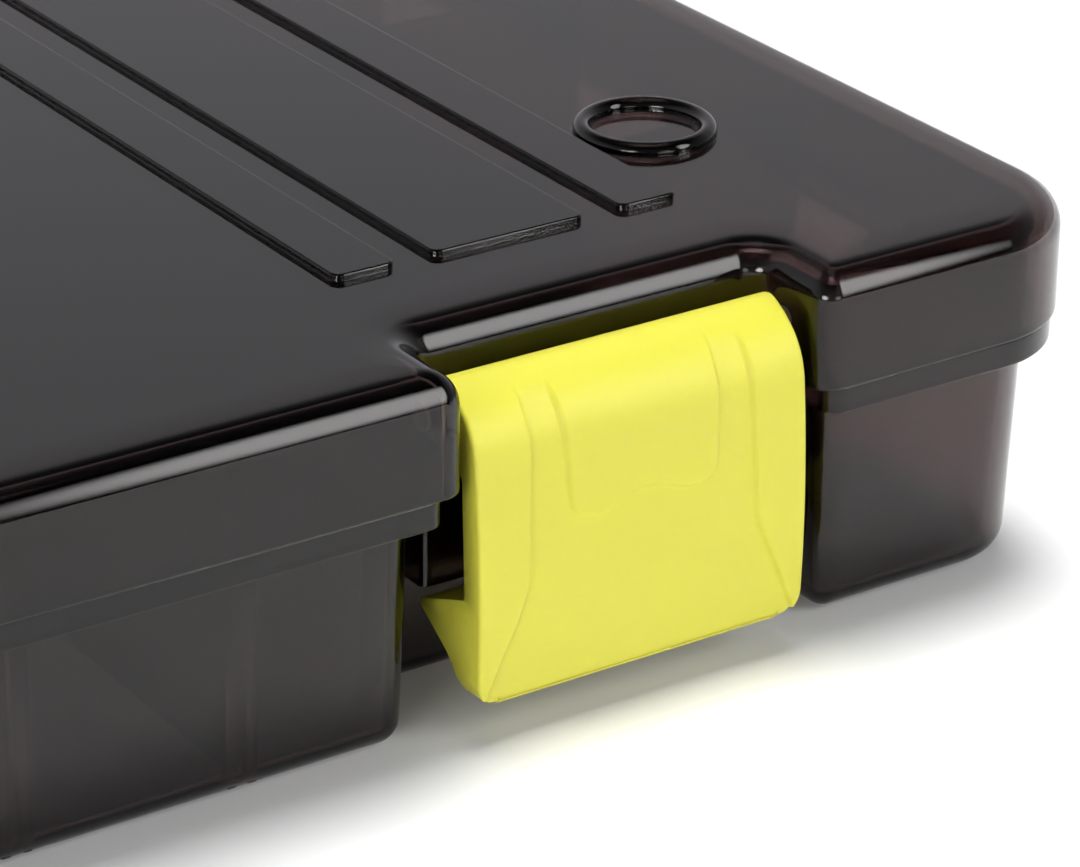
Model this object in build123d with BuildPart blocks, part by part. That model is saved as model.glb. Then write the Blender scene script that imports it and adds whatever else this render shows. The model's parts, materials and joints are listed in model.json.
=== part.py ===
from build123d import *
import os
from math import radians, tan

# A flat storage box for small tackle: a tray with four rows of compartments, a lid hinged at the
# back on two steel pins, and two latches that swing on steel pins in notches of the lid's front.
# Millimetres, +Z up. The origin is under the middle of the box, on the surface that it stands on.
# The front, with the latches, faces -Y.

# Overall sizes
BOX_LENGTH = 355.0
BOX_DEPTH = 225.0           # from the lid's front face to the back of the hinge barrels
FRONT = -BOX_DEPTH / 2

# Lid
LID_DEPTH = 218.0
LID_TOP = 48.4
LID_FOOT = 33.2             # lower edge of the lid's skirt
LID_WALL = 2.0
LID_EDGE = 3.0              # rounding along the top edge
LID_ROUNDS = {"end": 16.0, "mouth": 3.1, "inner": 3.0}     # seen from above, see corner_kind
BACK = FRONT + LID_DEPTH
MIDDLE = FRONT + LID_DEPTH / 2

# Notches in the lid's front edge for the latches
LATCH_X = 108.5             # each latch's middle, left and right of the box's middle
NOTCH_WIDTH = 49.4
NOTCH_DEPTH = 13.0
NOTCH_MIDDLE = FRONT + 10.0  # between the notches' outer and inner corners, front to back

# Raised strips and stacking rings on the lid
STRIP_HEIGHT = 0.9
WIDE_STRIP = 21.6           # the wide one stands straight behind the latch
NARROW_STRIP = 8.5
STRIP_GAP = 5.1
STRIP_CORNER = 0.8          # bevel of a strip's upright corners
STRIP_EDGE = 0.35           # bevel round a strip's top
STRIP_END = 29.3            # from the lid's front or back edge to the ends of the strips
RING_X = 142.5
RING_INSET = 50.0           # from the lid's front or back edge to a ring's middle
RING_RADIUS = 8.0           # to the middle of its wall
RING_HALF = 1.2             # half its wall
RING_HEIGHT = 1.6           # the rings stand higher than the strips, 50 mm above the table

# Tray
TRAY_TOP = 44.0             # the walls go on above the rim, up inside the lid
TRAY_INSET = 5.6            # from the lid's outline to the foot of the tray's wall
TRAY_NOTCH_INSET = 5.0      # the same at the sides of a latch recess
TRAY_DRAFT = 2.2            # degrees that the walls lean outwards
TRAY_ROUNDS = {"end": 11.0, "mouth": 2.4, "inner": 7.0}
TRAY_EDGE = 2.2             # bevel round the underside
TRAY_WALL = 2.0
FLOOR = 2.0
RIM_TOP = 33.0
RIM_FOOT = 29.4
RIM_INSET = 1.0
RIM_NOTCH_INSET = 2.3
RIM_ROUNDS = {"end": 15.0, "mouth": 2.0, "inner": 3.0}

# Rows of compartments
WALL_TOP = 43.0
ROW_WALL = 1.6
ROW_PITCH = 51.5            # from one fixed wall's middle to the next
GROOVE_PITCH = 28.6
DIVIDER = 1.4
DIVIDER_TOP = 42.6
DIVIDER_GAP = 0.2           # between a divider and what stands round it
SCALLOP_WIDTH = 19.0        # finger dip in a divider's top edge
SCALLOP_FOOT = 11.0
SCALLOP_DEPTH = 3.0
DIVIDER_CORNER = 1.5
FRONT_ROW_DIVIDER = 2 * GROOVE_PITCH      # from the middle divider to those beside it
ROW_DIVIDER = 3 * GROOVE_PITCH
GROOVES = 3                 # grooves on each side of the middle
GROOVE_PLAY = 0.15
RIB = 1.0                   # thickness of the ribs beside a groove
RIB_REACH = 1.2             # how far they stand out from the wall
RIB_ROOT = 1.6              # how far they go into a leaning wall
RIB_TOP = 40.0

# Latches
LATCH_WIDTH = 45.8
LATCH_FOOT = 5.4
LATCH_CORNER = 3.4          # rounding of the plate's lower corners
LATCH_EDGE = 0.5            # bevel round the plate's front
FOOT_CUT = 0.6              # its section runs on this far below its foot, and the outline cuts it off
LATCH_BARREL = 3.6          # radius round the pin
PIVOT_Y = FRONT + 8.6
PIVOT_Z = 40.1
# the plate from the side: each point is its distance behind the lid's front, and its height
FACE_FOOT = (0.5, LATCH_FOOT - FOOT_CUT)
FACE_MIDDLE = (0.1, 17.0)
FACE_TOP = (1.1, 35.5)
NECK = (6.0, PIVOT_Z - LATCH_BARREL)
PLATE_BACK_TOP = (4.0, 33.0)
PLATE_BACK_FOOT = (3.4, 18.0)
BARB_TIP = (13.1, 14.3)
BARB_NOSE = (12.6, 13.4)
BARB_UNDER = (8.0, 10.4)
HEEL = (4.2, LATCH_FOOT - FOOT_CUT)
# the sunk panel of the plate, seen from the front, and the thumb pad left standing in it
PANEL_DEPTH = 0.4
PANEL_FADE = (6.3, 44.2)    # where the sunk face, bent like the plate, would come out above the bend
PANEL_TOP = 45.0
PANEL_TOP_HALF = 15.4       # half its width at the top
PANEL_WAIST = 19.3          # below this height it spreads out to the plate's corners
PANEL_WAIST_HALF = 16.1
PANEL_WAIST_ROUND = 5.0
PANEL_FOOT_HALF = 22.2
PAD_TOP_HALF = 11.2
PAD_FOOT = 25.6             # height of its two lower tips
PAD_FOOT_HALF = 10.2
PAD_ROUND = 2.6             # rounding of the tips
PAD_WAVE_HALF = 7.0
PAD_WAVE = 1.6              # its lower edge rises this much in the middle
# the catch behind each latch's barb, hollow from below, and the pins
CATCH_WIDTH = 47.4
CATCH_FRONT = FRONT + 11.7
CATCH_BACK = FRONT + 19.5
CATCH_FOOT = 15.9
CATCH_WALL = 1.6
CATCH_ROOF = 2.0
PIN_RADIUS = 1.5
PLAY = 0.05                 # radial play of a pin in its holes
BLIND = 0.5                 # wall left at the end of a pin's hole
PIN_END_GAP = 0.2

# Hinge at the back
HINGE_X = 108.5
HINGE_Z = 31.3
KNUCKLE = 3.2
HINGE_Y = FRONT + BOX_DEPTH - KNUCKLE
HINGE_PIN = 1.25
TRAY_KNUCKLE = 18.0
LID_KNUCKLE = 10.0
KNUCKLE_GAP = 0.4
LID_ARM_TOP = 38.0
LID_ARM_CLEAR = 0.4
TRAY_ARM_FOOT = 26.0

left_and_right = (-1, 1)
notch_half = NOTCH_WIDTH / 2
RECESS_BACK = FRONT + NOTCH_DEPTH + TRAY_INSET
pin_hole_half = notch_half + LID_WALL - BLIND
row_walls = [MIDDLE - ROW_PITCH, MIDDLE, MIDDLE + ROW_PITCH]


def corner_kind(point):
    """Which corner of the outline a point is at: the box's end, or a notch's mouth or inner end."""
    if abs(point.X) > LATCH_X + NOTCH_WIDTH:
        return "end"
    return "mouth" if point.Y < NOTCH_MIDDLE else "inner"


def inner_rounds(rounds, wall):
    """The roundings inside a wall, for those outside it."""
    return {"end": rounds["end"] - wall, "mouth": rounds["mouth"] - wall, "inner": rounds["inner"] + wall}


def plan(inset, notch_inset, height):
    """The box's outline from above at a height, drawn in by inset, with its two latch notches."""
    with BuildSketch() as outline:
        with Locations((0, MIDDLE)):
            Rectangle(BOX_LENGTH - 2 * inset, LID_DEPTH - 2 * inset)
        with Locations((-LATCH_X, FRONT + inset), (LATCH_X, FRONT + inset)):
            Rectangle(NOTCH_WIDTH + 2 * notch_inset, 2 * NOTCH_DEPTH, mode=Mode.SUBTRACT)
    return outline.sketch.moved(Location((0, 0, height)))


def upright_block(inset, notch_inset, foot, top, rounds):
    """A block with the box's outline, upright walls and rounded corners."""
    with BuildPart() as block:
        extrude(plan(inset, notch_inset, foot), top - foot)
        for kind, radius in rounds.items():
            uprights = block.edges().filter_by(Axis.Z)
            fillet(uprights.filter_by(lambda e: corner_kind(e.center()) == kind), radius)
    return block.part


def leaning_block(inset, notch_inset, foot, top, rounds):
    """The same with walls that lean outwards. The insets are those at its foot."""
    with BuildPart() as block:
        extrude(plan(inset, notch_inset, foot), top - foot)
        sides = block.faces() - block.faces().filter_by(Axis.Z)
        draft(sides, Plane.XY.offset(foot), -TRAY_DRAFT)
        for kind, radius in rounds.items():
            slopes = block.edges().filter_by(lambda e: abs((e @ 1 - e @ 0).Z) > (top - foot) / 2)
            fillet(slopes.filter_by(lambda e: corner_kind(e.center()) == kind), radius)
    return block.part


def save(builder, name):
    builder.part.label = name
    export_step(builder.part, f"parts/{name}.step")
    solids = builder.part.solids()
    print(f"{name}: {len(solids)} solid, {builder.part.volume / 1000:.2f} cm3, valid {builder.part.is_valid}")


os.makedirs("parts", exist_ok=True)

# Lid: a rounded shell with strips, rings, holes for the latch pins and its half of the hinge
lid_block = upright_block(0, 0, LID_FOOT, LID_TOP, LID_ROUNDS)
lid_hollow = upright_block(LID_WALL, LID_WALL, LID_FOOT, LID_TOP - LID_WALL,
                           inner_rounds(LID_ROUNDS, LID_WALL))
with BuildPart() as lid:
    add(lid_block)
    fillet(lid.faces().sort_by(Axis.Z)[-1].edges(), LID_EDGE)
    add(lid_hollow, mode=Mode.SUBTRACT)
    # three raised strips behind each latch, running from front to back
    side_strip = (WIDE_STRIP + NARROW_STRIP) / 2 + STRIP_GAP
    with BuildSketch(Plane.XY.offset(LID_TOP)) as strips:
        for latch_x in (-LATCH_X, LATCH_X):
            with Locations((latch_x, MIDDLE)):
                Rectangle(WIDE_STRIP, LID_DEPTH - 2 * STRIP_END)
            with Locations((latch_x - side_strip, MIDDLE), (latch_x + side_strip, MIDDLE)):
                Rectangle(NARROW_STRIP, LID_DEPTH - 2 * STRIP_END)
        chamfer(strips.vertices(), STRIP_CORNER)
    extrude(amount=STRIP_HEIGHT)
    chamfer(lid.faces().group_by(Axis.Z)[-1].edges(), STRIP_EDGE)
    # a raised ring near each corner
    with BuildSketch(Plane.XY.offset(LID_TOP)):
        with Locations((0, MIDDLE)):
            with GridLocations(2 * RING_X, LID_DEPTH - 2 * RING_INSET, 2, 2):
                Circle(RING_RADIUS + RING_HALF)
                Circle(RING_RADIUS - RING_HALF, mode=Mode.SUBTRACT)
    extrude(amount=RING_HEIGHT)
    # blind holes for the latch pins in the notches' side walls
    for latch_x in (-LATCH_X, LATCH_X):
        with BuildSketch(Plane.YZ.offset(latch_x)):
            with Locations((PIVOT_Y, PIVOT_Z)):
                Circle(PIN_RADIUS + PLAY)
        extrude(amount=pin_hole_half, both=True, mode=Mode.SUBTRACT)
    # outer hinge knuckles, with their arms to the skirt
    for hinge_x in (-HINGE_X, HINGE_X):
        for side in left_and_right:
            with BuildSketch(Plane.YZ.offset(hinge_x + side * (TRAY_KNUCKLE / 2 + KNUCKLE_GAP))):
                with BuildLine():
                    Polyline((BACK - LID_WALL / 2, LID_FOOT), (BACK + LID_ARM_CLEAR, LID_FOOT),
                             (HINGE_Y - KNUCKLE, HINGE_Z), (HINGE_Y, HINGE_Z), (HINGE_Y, HINGE_Z + KNUCKLE),
                             (BACK - LID_WALL / 2, LID_ARM_TOP), close=True)
                make_face()
                with Locations((HINGE_Y, HINGE_Z)):
                    Circle(KNUCKLE)
                    Circle(HINGE_PIN + PLAY, mode=Mode.SUBTRACT)
            extrude(amount=side * LID_KNUCKLE)

# Tray: drafted walls with a rim, rows of compartments, latch recesses with their catches
front_row_start = FRONT + TRAY_INSET + TRAY_WALL
back_row_end = BACK - TRAY_INSET - TRAY_WALL
tray_block = leaning_block(TRAY_INSET, TRAY_NOTCH_INSET, 0, TRAY_TOP, TRAY_ROUNDS)
tray_hollow = leaning_block(TRAY_INSET + TRAY_WALL, TRAY_NOTCH_INSET + TRAY_WALL, FLOOR, TRAY_TOP,
                            inner_rounds(TRAY_ROUNDS, TRAY_WALL))
rim = upright_block(RIM_INSET, RIM_NOTCH_INSET, RIM_FOOT, RIM_TOP, RIM_ROUNDS)
with BuildPart() as base_tray:
    add(tray_block)
    chamfer(base_tray.faces().sort_by(Axis.Z)[0].edges(), TRAY_EDGE)
    add(rim)
    # the catch in each recess hangs from the rim
    with BuildSketch(Plane.XY.offset(CATCH_FOOT)):
        catch_y = (CATCH_FRONT + CATCH_BACK) / 2
        with Locations((-LATCH_X, catch_y), (LATCH_X, catch_y)):
            Rectangle(CATCH_WIDTH, CATCH_BACK - CATCH_FRONT)
    extrude(amount=RIM_TOP - CATCH_FOOT)
    with BuildSketch(Plane.XY.offset(CATCH_FOOT)):
        hollow_y = (CATCH_FRONT + RECESS_BACK) / 2
        with Locations((-LATCH_X, hollow_y), (LATCH_X, hollow_y)):
            Rectangle(CATCH_WIDTH - 2 * CATCH_WALL, RECESS_BACK - CATCH_FRONT - 2 * CATCH_WALL)
    extrude(amount=RIM_FOOT - CATCH_ROOF - CATCH_FOOT, mode=Mode.SUBTRACT)
    # the middle knuckle of each hinge, on an arm from the rim
    for hinge_x in (-HINGE_X, HINGE_X):
        with BuildSketch(Plane.YZ.offset(hinge_x)):
            with BuildLine():
                Polyline((BACK - TRAY_INSET, TRAY_ARM_FOOT), (HINGE_Y, HINGE_Z - KNUCKLE), (HINGE_Y, HINGE_Z),
                         (HINGE_Y - KNUCKLE, HINGE_Z), (BACK - RIM_INSET, RIM_TOP), (BACK - TRAY_INSET, RIM_TOP),
                         close=True)
            make_face()
            with Locations((HINGE_Y, HINGE_Z)):
                Circle(KNUCKLE)
                Circle(HINGE_PIN + PLAY, mode=Mode.SUBTRACT)
        extrude(amount=TRAY_KNUCKLE / 2, both=True)
    # the hollow inside, following the walls
    add(tray_hollow, mode=Mode.SUBTRACT)
    # three fixed walls from side to side
    with BuildSketch(Plane.XY.offset(FLOOR)):
        for wall_y in row_walls:
            with Locations((0, wall_y)):
                Rectangle(BOX_LENGTH - 2 * TRAY_INSET - TRAY_WALL, ROW_WALL)
    extrude(amount=WALL_TOP - FLOOR)
    # pairs of ribs along the walls, with a groove for a divider between each pair
    with BuildSketch(Plane.XY.offset(FLOOR)):
        for groove in range(-GROOVES, GROOVES + 1):
            groove_x = groove * GROOVE_PITCH
            ribs = [(wall_y, ROW_WALL + 2 * RIB_REACH) for wall_y in row_walls]
            ribs.append((back_row_end + (RIB_ROOT - RIB_REACH) / 2, RIB_ROOT + RIB_REACH))
            if abs(groove_x) < LATCH_X - NOTCH_WIDTH:
                ribs.append((front_row_start - (RIB_ROOT - RIB_REACH) / 2, RIB_ROOT + RIB_REACH))
            for rib_y, length in ribs:
                with Locations((groove_x, rib_y)):
                    with GridLocations(DIVIDER + 2 * GROOVE_PLAY + RIB, 1, 2, 1):
                        Rectangle(RIB, length)
    extrude(amount=RIB_TOP - FLOOR)

save(lid, "lid")
save(base_tray, "base_tray")


def behind(point):
    """A point of the latch's section, given by its distance behind the lid's front and its height."""
    return (FRONT + point[0], point[1])


def latch_section(x):
    """A latch's section from the side: plate, bend, barrel and barb."""
    with BuildSketch(Plane.YZ.offset(x)) as section:
        with BuildLine():
            front = ThreePointArc(behind(FACE_FOOT), behind(FACE_MIDDLE), behind(FACE_TOP))
            bend = TangentArc(front @ 1, (PIVOT_Y, PIVOT_Z + LATCH_BARREL), tangent=front % 1)
            barrel = ThreePointArc(bend @ 1, (PIVOT_Y + LATCH_BARREL, PIVOT_Z), (PIVOT_Y, PIVOT_Z - LATCH_BARREL))
            barb = Polyline(barrel @ 1, behind(NECK), behind(PLATE_BACK_TOP), behind(PLATE_BACK_FOOT),
                            behind(BARB_TIP), behind(BARB_NOSE), behind(BARB_UNDER))
            heel = TangentArc(barb @ 1, behind(HEEL), tangent=barb % 1)
            Line(heel @ 1, front @ 0)
        make_face()
    return section.sketch


def panel_section(x):
    """What is cut off the latch's face over the panel: all in front of a face sunk by its depth."""
    sunk = [behind((point[0] + PANEL_DEPTH, point[1])) for point in (FACE_FOOT, FACE_MIDDLE, FACE_TOP)]
    with BuildSketch(Plane.YZ.offset(x)) as section:
        with BuildLine():
            front = ThreePointArc(*sunk)
            bend = TangentArc(front @ 1, behind(PANEL_FADE), tangent=front % 1)
            Polyline(bend @ 1, behind((-1, PANEL_FADE[1])), behind((-1, FACE_FOOT[1])), front @ 0)
        make_face()
    return section.sketch


def plate_outline(front_view):
    """The latch's outline from the front: square at the top, rounded at its two lower corners."""
    with BuildSketch(front_view) as outline:
        with Locations((0, (LATCH_FOOT + LID_TOP) / 2)):
            Rectangle(LATCH_WIDTH, LID_TOP - LATCH_FOOT)
        fillet(outline.vertices().group_by(Axis.Y)[0], LATCH_CORNER)
    return outline.sketch


def make_latch(x):
    """One latch: a bowed plate with a barrel for its pin, a barb, a sunk panel and a thumb pad."""
    front_view = Plane(origin=(x, FRONT, 0), x_dir=(1, 0, 0), z_dir=(0, -1, 0))
    half = LATCH_WIDTH / 2
    through = NOTCH_DEPTH + LATCH_FOOT
    with BuildPart() as panel:
        extrude(panel_section(x), half, both=True)
        with BuildSketch(front_view) as outline:
            with BuildLine():
                Polyline((-PANEL_FOOT_HALF, 0), (-PANEL_FOOT_HALF, LATCH_FOOT), (-PANEL_WAIST_HALF, PANEL_WAIST),
                         (-PANEL_TOP_HALF, PANEL_TOP), (PANEL_TOP_HALF, PANEL_TOP), (PANEL_WAIST_HALF, PANEL_WAIST),
                         (PANEL_FOOT_HALF, LATCH_FOOT), (PANEL_FOOT_HALF, 0), close=True)
            make_face()
            fillet(outline.vertices().filter_by(lambda v: v.Y == PANEL_WAIST), PANEL_WAIST_ROUND)
            with BuildLine():
                wave = ThreePointArc((-PAD_WAVE_HALF, PAD_FOOT), (0, PAD_FOOT + PAD_WAVE), (PAD_WAVE_HALF, PAD_FOOT))
                side = Polyline(wave @ 1, (PAD_FOOT_HALF, PAD_FOOT), (PAD_TOP_HALF, PANEL_TOP),
                                (-PAD_TOP_HALF, PANEL_TOP), (-PAD_FOOT_HALF, PAD_FOOT), wave @ 0)
            make_face(mode=Mode.SUBTRACT)
            tips = outline.vertices().filter_by(lambda v: v.Y == PAD_FOOT and abs(v.X) == PAD_FOOT_HALF)
            fillet(tips, PAD_ROUND)
        extrude(amount=through, both=True, mode=Mode.INTERSECT)
    with BuildPart() as latch:
        extrude(latch_section(x), half, both=True)
        extrude(plate_outline(front_view), through, both=True, mode=Mode.INTERSECT)
        plate_edges = latch.edges().filter_by(lambda e: e.center().Y < FRONT + PLATE_BACK_FOOT[0])
        bend_edges = latch.edges().filter_by(lambda e: e.center().Z > PIVOT_Z and e.center().Y < PIVOT_Y - 1)
        chamfer(plate_edges + bend_edges, LATCH_EDGE)
        add(panel.part, mode=Mode.SUBTRACT)
        with BuildSketch(Plane.YZ.offset(x)):
            with Locations((PIVOT_Y, PIVOT_Z)):
                Circle(PIN_RADIUS + PLAY)
        extrude(amount=half, both=True, mode=Mode.SUBTRACT)
    return latch


for name, latch_x in (("left", -LATCH_X), ("right", LATCH_X)):
    save(make_latch(latch_x), f"latch_{name}")
    with BuildPart() as latch_pin:
        with BuildSketch(Plane.YZ.offset(latch_x)):
            with Locations((PIVOT_Y, PIVOT_Z)):
                Circle(PIN_RADIUS)
        extrude(amount=pin_hole_half - PIN_END_GAP, both=True)
    save(latch_pin, f"latch_pin_{name}")

for name, hinge_x in (("left", -HINGE_X), ("right", HINGE_X)):
    with BuildPart() as hinge_pin:
        with BuildSketch(Plane.YZ.offset(hinge_x)):
            with Locations((HINGE_Y, HINGE_Z)):
                Circle(HINGE_PIN)
        extrude(amount=TRAY_KNUCKLE / 2 + KNUCKLE_GAP + LID_KNUCKLE, both=True)
    save(hinge_pin, f"hinge_pin_{name}")

# Loose dividers across the rows, cut to the lean of the front and back walls
lean = (DIVIDER_TOP - FLOOR) * tan(radians(TRAY_DRAFT))
half_wall = ROW_WALL / 2
rows = {
    "front": (front_row_start, -lean, row_walls[0] - half_wall, 0, FRONT_ROW_DIVIDER),
    "middle_front": (row_walls[0] + half_wall, 0, row_walls[1] - half_wall, 0, ROW_DIVIDER),
    "middle_back": (row_walls[1] + half_wall, 0, row_walls[2] - half_wall, 0, ROW_DIVIDER),
    "back": (row_walls[2] + half_wall, 0, back_row_end, lean, ROW_DIVIDER),
}
for row, (start, start_lean, end, end_lean, spread) in rows.items():
    middle = (start + end) / 2
    for column, x in (("left", -spread), ("centre", 0), ("right", spread)):
        with BuildPart() as divider:
            with BuildSketch(Plane.YZ.offset(x)) as outline:
                with BuildLine():
                    Polyline((start + DIVIDER_GAP, FLOOR + DIVIDER_GAP), (end - DIVIDER_GAP, FLOOR + DIVIDER_GAP),
                             (end - DIVIDER_GAP + end_lean, DIVIDER_TOP),
                             (middle + SCALLOP_WIDTH / 2, DIVIDER_TOP),
                             (middle + SCALLOP_FOOT / 2, DIVIDER_TOP - SCALLOP_DEPTH),
                             (middle - SCALLOP_FOOT / 2, DIVIDER_TOP - SCALLOP_DEPTH),
                             (middle - SCALLOP_WIDTH / 2, DIVIDER_TOP),
                             (start + DIVIDER_GAP + start_lean, DIVIDER_TOP), close=True)
                make_face()
                chamfer(outline.vertices(), DIVIDER_CORNER)
            extrude(amount=DIVIDER / 2, both=True)
        save(divider, f"divider_{row}_{column}")
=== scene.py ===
import json
import math
from itertools import accumulate

import bpy
import numpy as np
from mathutils import Matrix, Vector
from mathutils.geometry import delaunay_2d_cdt


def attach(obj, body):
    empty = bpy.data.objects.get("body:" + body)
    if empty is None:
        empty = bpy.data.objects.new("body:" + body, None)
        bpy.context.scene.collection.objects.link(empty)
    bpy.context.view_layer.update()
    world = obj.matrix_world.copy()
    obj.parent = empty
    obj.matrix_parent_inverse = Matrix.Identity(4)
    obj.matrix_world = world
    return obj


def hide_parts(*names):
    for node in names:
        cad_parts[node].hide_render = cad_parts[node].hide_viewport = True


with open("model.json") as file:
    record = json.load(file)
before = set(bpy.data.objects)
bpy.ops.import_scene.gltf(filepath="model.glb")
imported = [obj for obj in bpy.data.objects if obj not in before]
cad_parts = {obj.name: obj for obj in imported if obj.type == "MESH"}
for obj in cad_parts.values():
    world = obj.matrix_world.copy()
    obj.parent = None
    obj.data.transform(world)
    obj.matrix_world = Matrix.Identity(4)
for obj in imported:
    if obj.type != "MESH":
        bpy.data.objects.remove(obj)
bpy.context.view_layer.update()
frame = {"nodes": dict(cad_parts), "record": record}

# %% [markdown]
# # A compartment tackle box
# The solids of the box are already in the scene, in their places. This script draws the lid, the
# tray and the latches again with softer edges, gives every piece its material, and lights it all.
#
# ## Where things are
# All lengths below are in millimetres and are turned into metres when a mesh is made. The box
# stands on the floor at height 0. Its front, with the latches, faces -Y. The lid's outline is the
# starting point for most other outlines, so its measures come first.

# %% Measures shared by several pieces
MM = 0.001
BOX_LENGTH = 355.0
FRONT = -112.5
LID_DEPTH = 218.0
BACK = FRONT + LID_DEPTH
MIDDLE = FRONT + LID_DEPTH / 2
LID_TOP = 48.4
LID_FOOT = 33.2
LATCH_X = 108.5
NOTCH_WIDTH = 49.4
NOTCH_DEPTH = 13.0
print("lid of", BOX_LENGTH, "x", LID_DEPTH, "mm, with notches at", -LATCH_X, "and", LATCH_X)

# %% [markdown]
# ## The camera
# The photo looks down on the right front corner of the box from the left, with a long lens. The
# position and the lens were found by matching the box's edges.

# %% Camera
TURN, TILT, ROLL = (math.radians(a) for a in (34.163, 25.088, 0.653))
CAMERA_AT = (-165.4, -493.5, 254.1)
LENS, SENSOR_WIDTH = 150.157, 36
NEAREST = 0.01          # in metres, things nearer to the camera than this are left out
ahead = Vector((math.sin(TURN) * math.cos(TILT), math.cos(TURN) * math.cos(TILT), -math.sin(TILT)))
right = Vector((math.cos(TURN), -math.sin(TURN), 0))
up = right.cross(ahead)
picture_right = right * math.cos(ROLL) + up * math.sin(ROLL)
picture_up = up * math.cos(ROLL) - right * math.sin(ROLL)
camera = bpy.data.objects.new("camera", bpy.data.cameras.new("camera"))
camera.data.lens = LENS
camera.data.sensor_width = SENSOR_WIDTH
camera.data.clip_start = NEAREST
turned = Matrix((picture_right, picture_up, -ahead)).transposed().to_4x4()
camera.matrix_world = Matrix.Translation(Vector(CAMERA_AT) * MM) @ turned
bpy.context.scene.collection.objects.link(camera)
bpy.context.scene.camera = camera
bpy.context.scene.view_settings.view_transform = "Standard"
print("camera at", [round(v, 3) for v in camera.location])

# %% [markdown]
# ## Helpers for meshes
# Every new piece is a skin stretched over rows of points. Each row is a closed outline with the
# same number of points, and the rows are joined by quads. Flat ends, also those with holes in
# them, are filled with triangles. Boxes cut with booleans and bevelled afterwards could give the
# same forms, but they break easily where roundings meet, as round the latch notches here.

# %% A skin gathers rows and fillings into one mesh
INSIDE_LOOPS = 1        # asks the triangulation for the inside of its loops only
SAME_POINT = 1e-6       # points that are closer than this, in mm, count as one
NO_AREA = 1e-12         # flatter triangles than this, in square mm, are left out


def crossings(points, starts, ends):
    """How many of the edges a ray from each point towards +x crosses: an odd count means inside."""
    x, y = points[:, 0, None], points[:, 1, None]
    spans = (starts[:, 1] > y) != (ends[:, 1] > y)
    level = ends[:, 1] == starts[:, 1]
    slope = (ends[:, 0] - starts[:, 0]) / np.where(level, 1, ends[:, 1] - starts[:, 1])
    return (spans & (x < starts[:, 0] + (y - starts[:, 1]) * slope)).sum(axis=1)


class Skin:
    """Points and faces that grow row by row and filling by filling, and become one mesh."""

    def __init__(self):
        self.points, self.faces = [], []

    def add(self, points):
        """Adds points and returns their numbers."""
        first = sum(len(p) for p in self.points)
        self.points.append(np.asarray(points, float))
        return first + np.arange(len(points))

    def rows(self, rows, flip=False, closed=False):
        """Joins closed rows, an array of rows x points x 3. Returns the numbers of the points
        in the first and in the last row."""
        rows = np.asarray(rows, float)
        ids = self.add(rows.reshape(-1, 3)).reshape(rows.shape[:2])
        chain = np.vstack([ids, ids[:1]]) if closed else ids
        turned = np.roll(chain, -1, axis=1)
        quads = np.stack([chain[:-1], chain[1:], turned[1:], turned[:-1]], axis=-1).reshape(-1, 4)
        self.faces.append(quads[:, ::-1] if flip else quads)
        return ids[0], ids[-1]

    def fill(self, loops, flat, flip=False):
        """Fills the area between closed loops of point numbers; flat are their points in 2-D,
        in the same order."""
        ids, flat = np.concatenate(loops), np.asarray(flat)
        sizes = [len(loop) for loop in loops]
        starts = [0, *accumulate(sizes)]
        edges = np.array([(start + i, start + (i + 1) % size)
                          for start, size in zip(starts, sizes) for i in range(size)])
        flat_points = [Vector(p) for p in flat]
        found = delaunay_2d_cdt(flat_points, edges.tolist(), [], INSIDE_LOOPS, SAME_POINT)
        triangles, source = found[2:4]
        corners = np.array([[source[i][0] for i in t] for t in triangles])
        a, b, c = (flat[corners[:, i]] for i in range(3))
        area = (b - a)[:, 0] * (c - a)[:, 1] - (b - a)[:, 1] * (c - a)[:, 0]
        corners[area < 0] = corners[area < 0][:, ::-1]
        inside = crossings((a + b + c) / 3, flat[edges[:, 0]], flat[edges[:, 1]]) % 2 == 1
        corners = corners[inside & (abs(area) > NO_AREA)]
        self.faces.append(ids[corners[:, ::-1] if flip else corners])

    def piece(self, name, material, sharp=None):
        """Makes the object, in metres, with smooth shading."""
        points = np.concatenate(self.points) * MM
        mesh = bpy.data.meshes.new(name)
        faces = [face for block in self.faces for face in block.tolist()]
        mesh.from_pydata(points.tolist(), [], faces)
        mesh.validate()
        mesh.shade_smooth()
        if sharp:
            mesh.set_sharp_from_angle(angle=math.radians(sharp))
        mesh.materials.append(material)
        made = bpy.data.objects.new(name, mesh)
        bpy.context.scene.collection.objects.link(made)
        print(name, len(mesh.vertices), "points", len(mesh.polygons), "faces")
        return made


# %% Outlines and profiles
def unit(v):
    return v / np.linalg.norm(v, axis=-1, keepdims=True)


LEVEL = 1.6             # a corner whose radius would pass zero keeps about half of this


def outline(corners, inset, steps=16):
    """A closed outline with square corners (x, y, radius), drawn in by inset.

    Each corner is an arc with the same centre at every inset, so its radius falls by the inset
    on an outer corner and grows on an inner one. A radius r that would pass zero levels off as
    (r + sqrt(r^2 + LEVEL^2)) / 2, so every inset has the same number of points.
    """
    tip = np.array([corner[:2] for corner in corners], float)
    radius = np.array([corner[2] for corner in corners], float)
    u, v = unit(tip - np.roll(tip, 1, axis=0)), unit(np.roll(tip, -1, axis=0) - tip)
    turn = np.sign(u[:, 0] * v[:, 1] - u[:, 1] * v[:, 0])
    radius = radius - turn * inset
    radius = ((radius + np.sqrt(radius ** 2 + LEVEL ** 2)) / 2)[:, None]
    tip = tip + (turn * inset)[:, None] * (v - u)
    t = np.linspace(0, np.pi / 2, steps)[None, :, None]
    centre = tip + radius * (v - u)
    arcs = centre[:, None] + radius[:, None] * (np.sin(t) * u[:, None] - np.cos(t) * v[:, None])
    return arcs.reshape(-1, 2)


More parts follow.
